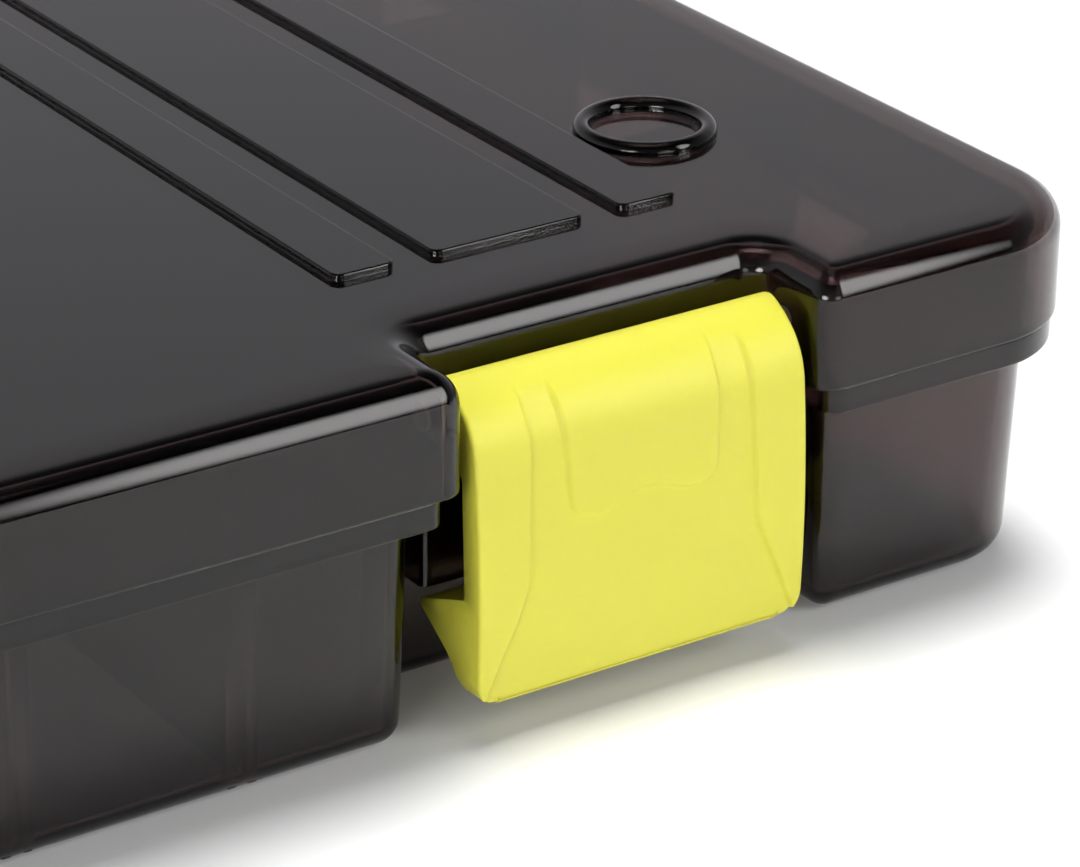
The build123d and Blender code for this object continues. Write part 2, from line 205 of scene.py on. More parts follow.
def lofted(corners, profile, steps=16):
    """Rows of an outline carried along a profile of (inset, height)."""
    return [np.column_stack([outline(corners, inset, steps), np.full(len(corners) * steps, z)])
            for inset, z in profile]


def arc(centre, radius, start, end, steps=7):
    """Points on an arc, from one angle to another in degrees."""
    t = np.radians(np.linspace(start, end, steps))
    return np.column_stack([centre[0] + radius * np.cos(t), centre[1] + radius * np.sin(t)])


# %% [markdown]
# ## Surface finish
# Moulded plastic is never quite even. The mould leaves a faint waviness, handling leaves smudges
# and hair-fine scratches, and dust settles on it. These could be painted as pictures. Here they
# come from noise of different sizes, which needs no picture and has no seams, and each material
# mixes them in its own way.

# %% Node helpers
def node(tree, kind, **settings):
    made = tree.nodes.new(kind)
    for name, value in settings.items():
        setattr(made, name, value)
    return made


def socket(tree, target, value):
    """Sets a socket to a value, or links it to another socket."""
    if isinstance(value, bpy.types.NodeSocket):
        tree.links.new(value, target)
    else:
        target.default_value = value


def maths(tree, operation, a, b=0.0):
    made = node(tree, "ShaderNodeMath", operation=operation)
    socket(tree, made.inputs[0], a)
    socket(tree, made.inputs[1], b)
    return made.outputs[0]


def ramp(tree, value, low, high, out_low=0.0, out_high=1.0):
    """Maps a value from one range to another by 3 t^2 - 2 t^3, level beyond both ends."""
    made = node(tree, "ShaderNodeMapRange", interpolation_type="SMOOTHSTEP")
    for target, v in zip(made.inputs, (value, low, high, out_low, out_high)):
        socket(tree, target, v)
    return made.outputs[0]


def noise(tree, where, scale, detail=2.0, stretch=(1, 1, 1)):
    """Noise with about scale lumps to the metre; a small stretch along an axis draws them out."""
    mapping = node(tree, "ShaderNodeMapping")
    tree.links.new(where, mapping.inputs["Vector"])
    mapping.inputs["Scale"].default_value = stretch
    made = node(tree, "ShaderNodeTexNoise")
    tree.links.new(mapping.outputs[0], made.inputs["Vector"])
    made.inputs["Scale"].default_value = scale
    made.inputs["Detail"].default_value = detail
    return made.outputs["Fac"]


# %% Wear: dust, smudges, waviness and scratches in one shared group
def wear_group():
    """Dust in specks, smudges in soft patches, and scratches as drawn-out noise in two directions,
    each as a mask from 0 to 1, and waves as plain noise."""
    group = bpy.data.node_groups.new("wear", "ShaderNodeTree")
    for name in ("Dust", "Smudge", "Scratch", "Waves"):
        group.interface.new_socket(name, in_out="OUTPUT", socket_type="NodeSocketFloat")
    where = node(group, "ShaderNodeTexCoord").outputs["Object"]
    end = node(group, "NodeGroupOutput")
    specks = ramp(group, noise(group, where, 1500, 1), 0.70, 0.78)
    patches = ramp(group, noise(group, where, 45), 0.40, 0.70)
    socket(group, end.inputs["Dust"], maths(group, "MULTIPLY", specks, patches))
    socket(group, end.inputs["Smudge"], ramp(group, noise(group, where, 28, 4), 0.38, 0.72))
    fine = noise(group, where, 900, 1, (1, 0.02, 1))
    crossing = noise(group, where, 700, 1, (0.02, 1, 1))
    lines = maths(group, "MAXIMUM", ramp(group, fine, 0.74, 0.80),
                  ramp(group, crossing, 0.76, 0.82))
    few = ramp(group, noise(group, where, 60), 0.50, 0.62)
    socket(group, end.inputs["Scratch"], maths(group, "MULTIPLY", lines, few))
    socket(group, end.inputs["Waves"], noise(group, where, 120, 2))
    return group


WEAR = wear_group()


# %% One builder for all finishes
DUST_COLOUR = (0.55, 0.53, 0.50, 1)


def finish_of(name, colour, roughness, dusty, smudged, waves, scratch_depth):
    """A material with the shared wear. Dusty and smudged are how much of each it shows; waves and
    scratch_depth are heights in metres. Returns the material, its tree and its main shader."""
    made = bpy.data.materials.new(name)
    made.use_nodes = True
    tree = made.node_tree
    shader = tree.nodes["Principled BSDF"]
    wear = node(tree, "ShaderNodeGroup", node_tree=WEAR)
    mix = node(tree, "ShaderNodeMix", data_type="RGBA")
    socket(tree, mix.inputs["Factor"], maths(tree, "MULTIPLY", wear.outputs["Dust"], dusty))
    socket(tree, mix.inputs["A"], (*colour, 1))
    socket(tree, mix.inputs["B"], DUST_COLOUR)
    socket(tree, shader.inputs["Base Color"], mix.outputs["Result"])
    rough = maths(tree, "MULTIPLY", wear.outputs["Smudge"], smudged)
    rough = maths(tree, "ADD", rough, maths(tree, "MULTIPLY", wear.outputs["Dust"], dusty))
    socket(tree, shader.inputs["Roughness"], maths(tree, "ADD", rough, roughness))
    height = maths(tree, "SUBTRACT", maths(tree, "MULTIPLY", wear.outputs["Waves"], waves),
                   maths(tree, "MULTIPLY", wear.outputs["Scratch"], scratch_depth))
    bump = node(tree, "ShaderNodeBump")
    bump.inputs["Distance"].default_value = 1.0
    socket(tree, bump.inputs["Height"], height)
    socket(tree, shader.inputs["Normal"], bump.outputs[0])
    return made, tree, shader


# %% [markdown]
# ### Smoke-coloured plastic
# The box is moulded in a see-through plastic with a brownish-grey dye. Most of what the eye sees
# is the room mirrored in its smooth skin, over a dark body. A part of the dye colours each skin,
# and the rest sits in the plastic itself, so that a rounded edge, where the way through is long,
# looks darker than a flat wall. One dark skin without any dye inside would be simpler, but edges
# and walls would look alike. Light on its way to a shadow goes straight through, only dimmed.

# %% Smoke plastic and the dividers' lighter version
def smoke(name, roughness, colour, dye, strength, through):
    """Clear plastic. The skin has the colour, the dye inside absorbs with the given strength, and
    through is the share of the light that goes on to a shadow."""
    made, tree, shader = finish_of(name, colour, roughness, dusty=0.02, smudged=0.05,
                                   waves=1e-6, scratch_depth=2e-6)
    shader.inputs["Transmission Weight"].default_value = 1.0
    shader.inputs["IOR"].default_value = 1.46
    absorbs = node(tree, "ShaderNodeVolumeAbsorption")
    absorbs.inputs["Color"].default_value = (*dye, 1)
    absorbs.inputs["Density"].default_value = strength
    tree.links.new(absorbs.outputs[0], tree.nodes["Material Output"].inputs["Volume"])
    clear = node(tree, "ShaderNodeBsdfTransparent")
    clear.inputs["Color"].default_value = (through, through, through, 1)
    mix = node(tree, "ShaderNodeMixShader")
    tree.links.new(node(tree, "ShaderNodeLightPath").outputs["Is Shadow Ray"], mix.inputs[0])
    tree.links.new(shader.outputs[0], mix.inputs[1])
    tree.links.new(clear.outputs[0], mix.inputs[2])
    tree.links.new(mix.outputs[0], tree.nodes["Material Output"].inputs["Surface"])
    return made


SMOKE = smoke("smoke_plastic", roughness=0.05, colour=(0.50, 0.41, 0.40),
              dye=(0.20, 0.10, 0.10), strength=480, through=0.15)
DIVIDER = smoke("divider_plastic", roughness=0.12, colour=(0.5, 0.42, 0.42),
                dye=(0.25, 0.10, 0.10), strength=300, through=0.6)
print("smoke plastic and the dividers' lighter version are ready")

# %% [markdown]
# ### Yellow plastic and steel
# The latches are moulded in a satin lime yellow, a softer plastic that lets a little light in, so
# a little light also spreads under its surface, which a painted look wouldn't have. The pins are
# plain bright wire with the same wear as the rest, since little of them shows.

# %% Latch yellow and pin steel
YELLOW, _, shader = finish_of("yellow_plastic", (0.68, 0.65, 0.062), roughness=0.42, dusty=0.25,
                              smudged=0.10, waves=6e-6, scratch_depth=4e-6)
shader.inputs["Subsurface Weight"].default_value = 0.12
shader.inputs["Subsurface Radius"].default_value = (1.0, 0.8, 0.2)
shader.inputs["Subsurface Scale"].default_value = 0.002
STEEL, _, shader = finish_of("drawn_steel", (0.62, 0.62, 0.63), roughness=0.24, dusty=0.1,
                             smudged=0.12, waves=1e-6, scratch_depth=2e-6)
shader.inputs["Metallic"].default_value = 1.0

# %% The frame's own pieces take these finishes too
FINISHES = {"smoke_shell": SMOKE, "divider_smoke": DIVIDER,
            "latch_yellow": YELLOW, "pin_steel": STEEL}
for part in frame["record"]["subparts"]:
    mesh = frame["nodes"][part["node"]].data
    mesh.materials.clear()
    mesh.materials.append(FINISHES[part["material_slot"]])
print({name: material.name for name, material in FINISHES.items()})

# %% [markdown]
# ## The lid
# The lid is one moulding with walls of an even thickness. Its skin starts at the flat top, sinks
# very slightly towards the edge, turns down over a 4 mm rounding, runs down the skirt, round its
# foot and back up inside to the underside of the roof. The same profile is carried round the whole
# outline, also round the two notches that the latches sit in.

# %% The lid's outline and profile
def notch(x, reach, near, end, mouth, inner):
    """Four corners of a latch notch, from left to right; reach is half its width."""
    return [(x - reach, near, mouth), (x - reach, end, inner),
            (x + reach, end, inner), (x + reach, near, mouth)]


def box_corners(inset, end_inset, notch_inset, end, mouth, inner):
    """The corners of the box's outline with its two notches.

    It is drawn in by inset from front and back, by end_inset from both ends and by notch_inset
    round the notches. The radii are those at the box's ends, at the notches' mouths and inside.
    """
    half, near, far = BOX_LENGTH / 2 - end_inset, FRONT + inset, BACK - inset
    left, right = (notch(x, NOTCH_WIDTH / 2 + notch_inset, near, near + NOTCH_DEPTH, mouth, inner)
                   for x in (-LATCH_X, LATCH_X))
    return [(-half, near, end), *left, *right,
            (half, near, end), (half, far, end), (-half, far, end)]


LID_CORNERS = box_corners(0, 0, 0, end=16.0, mouth=2.9, inner=2.8)
ROUNDING, FLAT_INSET = 4.2, 8.8
FIRST_TILT = 3.3        # degrees by which the sunk top already leans where the rounding starts
SUPPORT = 0.3           # a narrow band beside each curve keeps the flat areas shaded flat
WALL, FOOT_ROUNDING, ROOF_ROUNDING = 2.0, 0.5, 2.2

first_inset = ROUNDING * (1 - math.sin(math.radians(FIRST_TILT)))
flat_end = FLAT_INSET - SUPPORT
sink = (flat_end - first_inset) * math.tan(math.radians(FIRST_TILT)) / 2
edge_centre = LID_TOP - sink - ROUNDING * math.cos(math.radians(FIRST_TILT))
fade = np.linspace(0, 1, 7)[1:-1]
roof = LID_TOP - WALL
profile = [(FLAT_INSET, LID_TOP), (flat_end, LID_TOP)]
profile += [(flat_end - f * (flat_end - first_inset), LID_TOP - sink * f ** 2) for f in fade]
profile += [(ROUNDING - x, z) for x, z in arc((0, edge_centre), ROUNDING, 90 - FIRST_TILT, 0, 15)]
profile += [(0, edge_centre - SUPPORT), (0, LID_FOOT + FOOT_ROUNDING + SUPPORT)]
profile += list(arc((FOOT_ROUNDING, LID_FOOT + FOOT_ROUNDING), FOOT_ROUNDING, 180, 270, 5))
profile += list(arc((WALL - FOOT_ROUNDING, LID_FOOT + FOOT_ROUNDING), FOOT_ROUNDING,
                    270, 360, 5))
profile += [(WALL, LID_FOOT + FOOT_ROUNDING + SUPPORT), (WALL, roof - ROOF_ROUNDING - SUPPORT)]
profile += list(arc((WALL + ROOF_ROUNDING, roof - ROOF_ROUNDING), ROOF_ROUNDING, 180, 90, 5))
profile += [(WALL + ROOF_ROUNDING + SUPPORT, roof)]
print(f"lid profile: {len(profile)} rows, the top sinks {sink:.2f} mm towards the edge")

# %% [markdown]
# ### Strips and rings on the top
# Three flat strips run from front to back behind each latch, and a round ring stands near each
# corner, so that boxes can be stacked. They are moulded with the lid and grow out of its top with
# a tiny hollow at the root. They could be shapes of their own that sink into the lid, but then
# see-through plastic would show two skins, so their outlines are holes in the flat top instead.

# %% Raised forms
STRIP_HEIGHT, STRIP_END, STRIP_CORNER, STRIP_ROUNDING = 0.9, 29.3, 0.8, 0.3
WIDE_STRIP, NARROW_STRIP, STRIP_SPACING = 21.6, 8.5, 20.15
STRIPS = [(-STRIP_SPACING, NARROW_STRIP), (0, WIDE_STRIP), (STRIP_SPACING, NARROW_STRIP)]
RING_X, RING_INSET, RING_RADIUS, RING_HALF, RING_HEIGHT = 142.5, 50.0, 8.0, 1.2, 1.6
ROOT, BESIDE = 0.12, 0.05       # the hollow at a root, and the flat band beside it

strip_top = LID_TOP + STRIP_HEIGHT
root_arc = arc((0, LID_TOP + ROOT), ROOT, 270, 360, 4)
crest_arc = arc((0, strip_top - STRIP_ROUNDING), STRIP_ROUNDING, 180, 90, 6)
strip_profile = [(-ROOT - BESIDE, LID_TOP), *[(-ROOT + x, z) for x, z in root_arc],
                 *[(STRIP_ROUNDING + x, z) for x, z in crest_arc],
                 (STRIP_ROUNDING + BESIDE, strip_top)]


def rectangle(x, half, near, far, radius):
    """The corners of a rectangle with round corners, round x and from near to far."""
    return [(x - half, near, radius), (x + half, near, radius),
            (x + half, far, radius), (x - half, far, radius)]


def strip_corners(x, width):
    """A strip's outline, from front to back over the lid."""
    return rectangle(x, width / 2, FRONT + STRIP_END, BACK - STRIP_END, STRIP_CORNER)


def ring_rows(x, y, steps=72):
    """Rows of circles over the ring's section: upright sides under a half-round crest, with a
    hollow at each root."""
    side = RING_HALF + ROOT
    section = np.array([(side + BESIDE, 0), *arc((side, ROOT), ROOT, 270, 180, 4),
                        *arc((0, RING_HEIGHT - RING_HALF), RING_HALF, 0, 180, 19),
                        *arc((-side, ROOT), ROOT, 0, -90, 4), (-side - BESIDE, 0)])
    t = np.linspace(0, 2 * np.pi, steps, endpoint=False)
    circles = [np.column_stack([x + (RING_RADIUS + out) * np.cos(t),
                                y + (RING_RADIUS + out) * np.sin(t),
                                np.full(steps, LID_TOP + high)]) for out, high in section]
    return np.array(circles)


# %% Lid skin
STRIP_STEPS = 8                 # points on each of a strip's corners
lid = Skin()
top, under = lid.rows(lofted(LID_CORNERS, profile))
top_loops, top_flat = [top], [outline(LID_CORNERS, FLAT_INSET)]
for side in (-1, 1):
    for x, width in STRIPS:
        corners = strip_corners(side * LATCH_X + x, width)
        root, crest = lid.rows(lofted(corners, strip_profile, STRIP_STEPS), flip=True)
        top_loops.append(root)
        top_flat.append(outline(corners, strip_profile[0][0], STRIP_STEPS))
        lid.fill([crest], outline(corners, strip_profile[-1][0], STRIP_STEPS))
    for y in (FRONT + RING_INSET, BACK - RING_INSET):
        rows = ring_rows(side * RING_X, y)
        top_loops += lid.rows(rows, flip=True)
        top_flat += [rows[0][:, :2], rows[-1][:, :2]]
lid.fill(top_loops, np.concatenate(top_flat))
lid.fill([under], outline(LID_CORNERS, profile[-1][0]), flip=True)
print(len(top_loops), "loops bound the lid's flat top")

# %% [markdown]
# ### The lid's half of the hinge
# Two barrels on each side carry the ends of the hinge pin. Their arms grow out of the skirt.

# %% Hinge barrels
HINGE_X, HINGE_Z, KNUCKLE, PIN_HOLE = 108.5, 31.3, 3.2, 1.3
HINGE_Y = FRONT + 225.0 - KNUCKLE
TRAY_BARREL, LID_BARREL, BARREL_GAP = 18.0, 10.0, 0.4


def prism(skin, section, x0, x1, bore=None, lean=0.0):
    """A closed bar between two x, from a section of (y, z) points that runs clockwise seen from +x.

    A bore is a hole right through it, and lean widens it at both ends with height.
    """
    section = np.array(section)[::-1]
    loops = [section] if bore is None else [section, bore]
    ends = []
    for loop in loops:
        grow = lean * loop[:, 1]
        far, near = np.column_stack([x1 + grow, loop]), np.column_stack([x0 - grow, loop])
        ends.append(skin.rows([far, near]))
    for end, flipped in ((0, False), (1, True)):
        skin.fill([loop[end] for loop in ends], np.concatenate(loops), flip=flipped)


pin_bore = arc((HINGE_Y, HINGE_Z), PIN_HOLE, 360, 15, 24)
ARM_IN, ARM_OUT = 1.2, 0.4      # how far the lid's arms start inside its outline and end outside
ARM_TOP, ARM_FOOT = 38.0, 0.6   # height of an arm's top, and of its foot over the skirt's
lid_arm = [(BACK - ARM_IN, LID_FOOT + ARM_FOOT), (BACK - ARM_IN, ARM_TOP),
           *arc((HINGE_Y, HINGE_Z), KNUCKLE, 90, -180, 28), (BACK + ARM_OUT, LID_FOOT)]
for middle in (-HINGE_X, HINGE_X):
    for side in (-1, 1):
        ends = sorted(middle + side * (TRAY_BARREL / 2 + BARREL_GAP + reach)
                      for reach in (0, LID_BARREL))
        prism(lid, lid_arm, *ends, bore=pin_bore)
SHARP = 40      # degrees between two faces from which their edge is shaded as a crease
lid = lid.piece("lid_shell", SMOKE, sharp=SHARP)
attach(lid, "lid")
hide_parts("lid")

# %% [markdown]
# ## The tray
# The lower half is one moulding too. Its walls lean outwards by two degrees, so that it slips out
# of the mould, and turn under in a soft rounding. A rim runs round it just below the lid's skirt,
# and above the rim the walls go on inside the lid. The rim could be a band of its own pushed over
# the wall, but see-through plastic would show the wall behind it. So the skin is again a profile
# carried round the outline; the rim has an outline of its own with as many points, and its rows
# join the wall's.

# %% The tray's outlines and rows
LEAN = math.tan(math.radians(2.2))
WALL_INSET, END_INSET, RECESS_INSET = 5.6, 4.6, 5.0       # at the table
WALL_CORNERS = box_corners(WALL_INSET, END_INSET, RECESS_INSET, end=11.0, mouth=2.4, inner=7.0)
RIM_INSET, RIM_END_INSET, RIM_RECESS_INSET = 1.0, 0.4, 2.3
RIM_CORNERS = box_corners(RIM_INSET, RIM_END_INSET, RIM_RECESS_INSET,
                          end=15.0, mouth=2.0, inner=3.0)
TRAY_TOP, RIM_TOP, RIM_FOOT, FLOOR = 44.0, 33.0, 29.4, 2.0
UNDER_ROUNDING, EDGE, FLOOR_ROUNDING = 3.4, 0.4, 1.2
INSIDE = WALL + FLOOR * LEAN            # the leaning inner face starts on the floor


def at_height(flat, z):
    return np.column_stack([flat, np.full(len(flat), z)])


def wall_rows(profile):
    """Rows on the leaning wall, from (inset, height)."""
    return [at_height(outline(WALL_CORNERS, inset - z * LEAN), z) for inset, z in profile]


def rim_rows(profile):
    return [at_height(outline(RIM_CORNERS, inset), z) for inset, z in profile]


under_arc = arc((UNDER_ROUNDING, UNDER_ROUNDING), UNDER_ROUNDING, 270, 180, 13)
floor_arc = arc((INSIDE + FLOOR_ROUNDING, FLOOR + FLOOR_ROUNDING), FLOOR_ROUNDING, 180, 270, 5)
tray = Skin()
rows = wall_rows([(UNDER_ROUNDING + SUPPORT, 0), *under_arc,
                  (0, UNDER_ROUNDING + SUPPORT), (0, RIM_FOOT)])
rows += rim_rows([(EDGE + SUPPORT, RIM_FOOT), *arc((EDGE, RIM_FOOT + EDGE), EDGE, 270, 180, 5),
                  (0, RIM_FOOT + EDGE + SUPPORT), (0, RIM_TOP - EDGE - SUPPORT),
                  *arc((EDGE, RIM_TOP - EDGE), EDGE, 180, 90, 5), (EDGE + SUPPORT, RIM_TOP)])
rows += wall_rows([(0, RIM_TOP), (0, TRAY_TOP - EDGE - SUPPORT),
                   *arc((EDGE, TRAY_TOP - EDGE), EDGE, 180, 90, 5),
                   *arc((INSIDE - EDGE, TRAY_TOP - EDGE), EDGE, 90, 0, 5),
                   (INSIDE, TRAY_TOP - EDGE - SUPPORT), (INSIDE, FLOOR + FLOOR_ROUNDING + SUPPORT),
                   *floor_arc, (INSIDE + FLOOR_ROUNDING + SUPPORT, FLOOR)])
under, floor = tray.rows(rows, flip=True)
tray.fill([under], rows[0][:, :2], flip=True)
tray.fill([floor], rows[-1][:, :2])
print(f"tray: {len(rows)} rows of {len(rows[0])} points")

# %% [markdown]
# ### Fixed walls, grooves, catches and hinge arms
# Three walls from side to side make four rows. Pairs of small ribs leave grooves between them for
# the loose dividers. In each recess hangs a catch, hollow from below, that the latch's barb snaps
# under. Each is a plain closed shape that runs a little into the wall that carries it.

# %% Fixed walls and the ribs beside the grooves
ROW_PITCH, ROW_WALL, WALL_HEIGHT, RIB_HEIGHT = 51.5, 1.6, 43.0, 40.0
GROOVE_PITCH, GROOVE, RIB, RIB_REACH = 28.6, 1.7, 1.0, 1.2
GROOVES = 3                     # on each side of the middle one
SUNK_IN = 1.0                   # how far these shapes run into what carries them
row_walls = [MIDDLE + k * ROW_PITCH for k in (-1, 0, 1)]
inner_half = BOX_LENGTH / 2 - END_INSET - WALL + SUNK_IN


def upright(y0, y1, top, rounding):
    """A bar's section, standing in the floor, with its two upper edges rounded."""
    foot = FLOOR - SUNK_IN
    return [(y0, foot), *arc((y0 + rounding, top - rounding), rounding, 180, 90, 4),
            *arc((y1 - rounding, top - rounding), rounding, 90, 0, 4), (y1, foot)]


for y in row_walls:
    wall_section = upright(y - ROW_WALL / 2, y + ROW_WALL / 2, WALL_HEIGHT, EDGE)
    prism(tray, wall_section, -inner_half, inner_half, lean=LEAN)
front_inside, back_inside = FRONT + WALL_INSET + WALL, BACK - WALL_INSET - WALL
for k in range(-GROOVES, GROOVES + 1):
    spans = [(y - ROW_WALL / 2 - RIB_REACH, y + ROW_WALL / 2 + RIB_REACH) for y in row_walls]
    spans.append((back_inside - RIB_REACH, back_inside + RIB_REACH))
    if abs(k) < GROOVES:        # the outermost ones would meet the latch recesses in the front wall
        spans.append((front_inside - RIB_REACH, front_inside + RIB_REACH))
    for y0, y1 in spans:
        for side in (-1, 1):
            x = k * GROOVE_PITCH + side * (GROOVE + RIB) / 2
            prism(tray, upright(y0, y1, RIB_HEIGHT, EDGE / 2), x - RIB / 2, x + RIB / 2)
print("fixed walls at", row_walls)

# %% Catches and the tray's half of the hinge
CATCH_HALF, CATCH_NEAR, CATCH_FAR = 23.7, 11.7, 18.6        # half width, distances from the front
CATCH_FOOT, CATCH_ROOF, CATCH_WALL = 15.9, 27.4, 1.6
CATCH_STEPS = 5                 # points on each of a catch's corners
TRAY_ARM_FOOT = 26.0
catch_top = RIM_TOP - EDGE
catch_profile = [(SUNK_IN, catch_top), (0, catch_top), (0, CATCH_FOOT + EDGE + SUPPORT),
                 *arc((EDGE, CATCH_FOOT + EDGE), EDGE, 180, 270, 4),
                 *arc((CATCH_WALL - EDGE, CATCH_FOOT + EDGE), EDGE, 270, 360, 4),
                 (CATCH_WALL, CATCH_FOOT + EDGE + SUPPORT), (CATCH_WALL, CATCH_ROOF),
                 (CATCH_WALL + SUPPORT, CATCH_ROOF)]
tray_arm = [(BACK - WALL_INSET, TRAY_ARM_FOOT), (BACK - WALL_INSET, RIM_TOP),
            (BACK - RIM_INSET, RIM_TOP), *arc((HINGE_Y, HINGE_Z), KNUCKLE, 180, -90, 28)]
for x in (-LATCH_X, LATCH_X):
    corners = rectangle(x, CATCH_HALF, FRONT + CATCH_NEAR, FRONT + CATCH_FAR, EDGE)
    top, roof_row = tray.rows(lofted(corners, catch_profile, CATCH_STEPS))
    tray.fill([top], outline(corners, catch_profile[0][0], CATCH_STEPS))
    tray.fill([roof_row], outline(corners, catch_profile[-1][0], CATCH_STEPS), flip=True)
for middle in (-HINGE_X, HINGE_X):
    prism(tray, tray_arm, middle - TRAY_BARREL / 2, middle + TRAY_BARREL / 2, bore=pin_bore)
tray = tray.piece("tray_shell", SMOKE, sharp=SHARP)
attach(tray, "tray")
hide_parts("base_tray")

# %% [markdown]
# ## The latches
# Each latch is one moulding: a bowed plate that covers the notch, a bend over the pin, a barrel,
# and a barb behind the plate that snaps under the tray's catch. Its section is drawn from the
# side, softened like a moulded edge, and stretched across the notch. The plate's middle is sunk
# a little, and the thumb pad stands in it at the height of the rim left at both sides. That relief
# could be a bump in the material, but a real step catches light at its edge from every side.

# %% The latch's section, as distance behind the lid's front and height
PIVOT = np.array([8.6, 40.1])
BARREL = 3.6
LATCH_FOOT, LATCH_HALF, LATCH_CORNER = 4.7, 23.2, 3.4
FACE = np.array([(0.5, LATCH_FOOT), (0.1, 17.0), (1.1, 35.5)])         # up the bowed plate
BACK_OF_PLATE = [(6.0, PIVOT[1] - BARREL), (4.0, 33.0), (3.4, 18.0)]   # down behind it
BARB = [(13.1, 14.3), (12.6, 13.4)]
HEEL_START, HEEL_DIRECTION, HEEL_END = (8.0, 10.4), (-4.6, -3.0), (4.2, LATCH_FOOT)
GRID = 0.22             # distance between the points of the finished surface
SOFTNESS = 0.3


def tangent_arc(start, direction, end, steps=40):
    """An arc from start to end that leaves in the given direction."""
    start, end, direction = np.array(start), np.array(end), unit(np.array(direction))
    across = np.array([direction[1], -direction[0]])
    chord = end - start
    radius = chord @ chord / (2 * chord @ across)
    centre = start + radius * across
    a, b = (np.arctan2(*(p - centre)[::-1]) for p in (start, end))
    turn = (b - a + np.pi) % (2 * np.pi) - np.pi
    t = np.linspace(a, a + turn, steps)
    return centre + abs(radius) * np.column_stack([np.cos(t), np.sin(t)])


curve = np.polyfit(FACE[:, 1], FACE[:, 0], 2)
height = np.linspace(LATCH_FOOT, FACE[2, 1], 60)
plate = np.column_stack([np.polyval(curve, height), height])
bend = tangent_arc(plate[-1], plate[-1] - plate[-2], PIVOT + (0, BARREL))
heel = tangent_arc(HEEL_START, HEEL_DIRECTION, HEEL_END, 12)
barrel = arc(PIVOT, BARREL, 85, -90, 40)
section = np.concatenate([plate, bend, barrel, BACK_OF_PLATE, BARB, heel])


def resampled(loop, spacing):
    """The closed loop with evenly spaced points."""
    loop = np.vstack([loop, loop[:1]])
    loop = loop[np.r_[True, np.linalg.norm(np.diff(loop, axis=0), axis=1) > 1e-9]]
    along = np.r_[0, np.cumsum(np.linalg.norm(np.diff(loop, axis=0), axis=1))]
    at = np.linspace(0, along[-1], int(along[-1] / spacing), endpoint=False)
    return np.column_stack([np.interp(at, along, loop[:, i]) for i in (0, 1)])


def softened(loop, radius, spacing):
    """Each point becomes the bell-weighted mean of its neighbours, which rounds the corners."""
    reach = int(4 * radius / spacing)
    weight = np.exp(-0.5 * (np.arange(-reach, reach + 1) * spacing / radius) ** 2)
    weight /= weight.sum()
    return sum(w * np.roll(loop, -k, axis=0) for k, w in zip(range(-reach, reach + 1), weight))


section = softened(resampled(section, GRID), SOFTNESS, GRID)
along = np.roll(section, -1, axis=0) - np.roll(section, 1, axis=0)
outward = unit(np.column_stack([-along[:, 1], along[:, 0]]))
on_loop = np.arange(len(section)) * GRID        # distance round the section from the plate's foot
on_loop = np.where(on_loop > on_loop[-1] / 2, on_loop - on_loop[-1], on_loop)
crown = on_loop[np.argmin(np.linalg.norm(section - PIVOT - (0, BARREL), axis=1))]
depths = section[:, 0]
print(f"latch section: {len(section)} points, {depths.min():.2f} to {depths.max():.2f} mm deep")

# %% The relief on the plate
PANEL_DEPTH, STEP = 0.60, 0.34          # how deep the sunk middle is, how wide its step
PANEL_HEIGHTS, PANEL_HALVES = (4.7, 18.2, 20.4, 45.0), (22.5, 16.6, 16.1, 15.4)
PAD_HEIGHTS, PAD_HALVES = (28.0, 43.0), (10.3, 11.2)
PAD_FOOT, PAD_ROUNDING, WAVE, WAVE_HALF = 26.0, 2.8, 1.6, 7.6
RELIEF_TOP, RELIEF_FADE = 41.5, 3.5     # the relief runs out at this height, over this length


def rise(distance, width):
    """0 to 1 over the given width, smooth at both ends: 3 t^2 - 2 t^3."""
    t = np.clip(distance / width + 0.5, 0, 1)
    return t * t * (3 - 2 * t)


def sunk(x, z):
    """How deep the plate's middle is sunk at a place seen from the front.

    The panel narrows upwards. The pad in it is a rectangle with round lower corners, whose foot
    dips by a squared cosine in the middle; outside is the distance from the pad's outline.
    """
    panel = rise(np.interp(z, PANEL_HEIGHTS, PANEL_HALVES) - abs(x), STEP)
    half = np.interp(z, PAD_HEIGHTS, PAD_HALVES)
    foot = PAD_FOOT + WAVE * np.cos(np.pi * np.clip(x / WAVE_HALF, -1, 1) / 2) ** 2
    a, b = abs(x) - half + PAD_ROUNDING, foot - z + PAD_ROUNDING
    outside = np.hypot(np.maximum(a, 0), np.maximum(b, 0))
    outside = outside + np.minimum(np.maximum(a, b), 0) - PAD_ROUNDING
    return PANEL_DEPTH * panel * rise(outside, STEP)


# %% Both latches
SIDE_EDGE = 0.5                     # rounding along the plate's two sides
FACE_LEAD, FACE_RISE = 0.3, 0.8     # the front starts a little round the plate's lower edge
CROWN_FADE = 5.0                    # and fades out over this length below the top of the bend


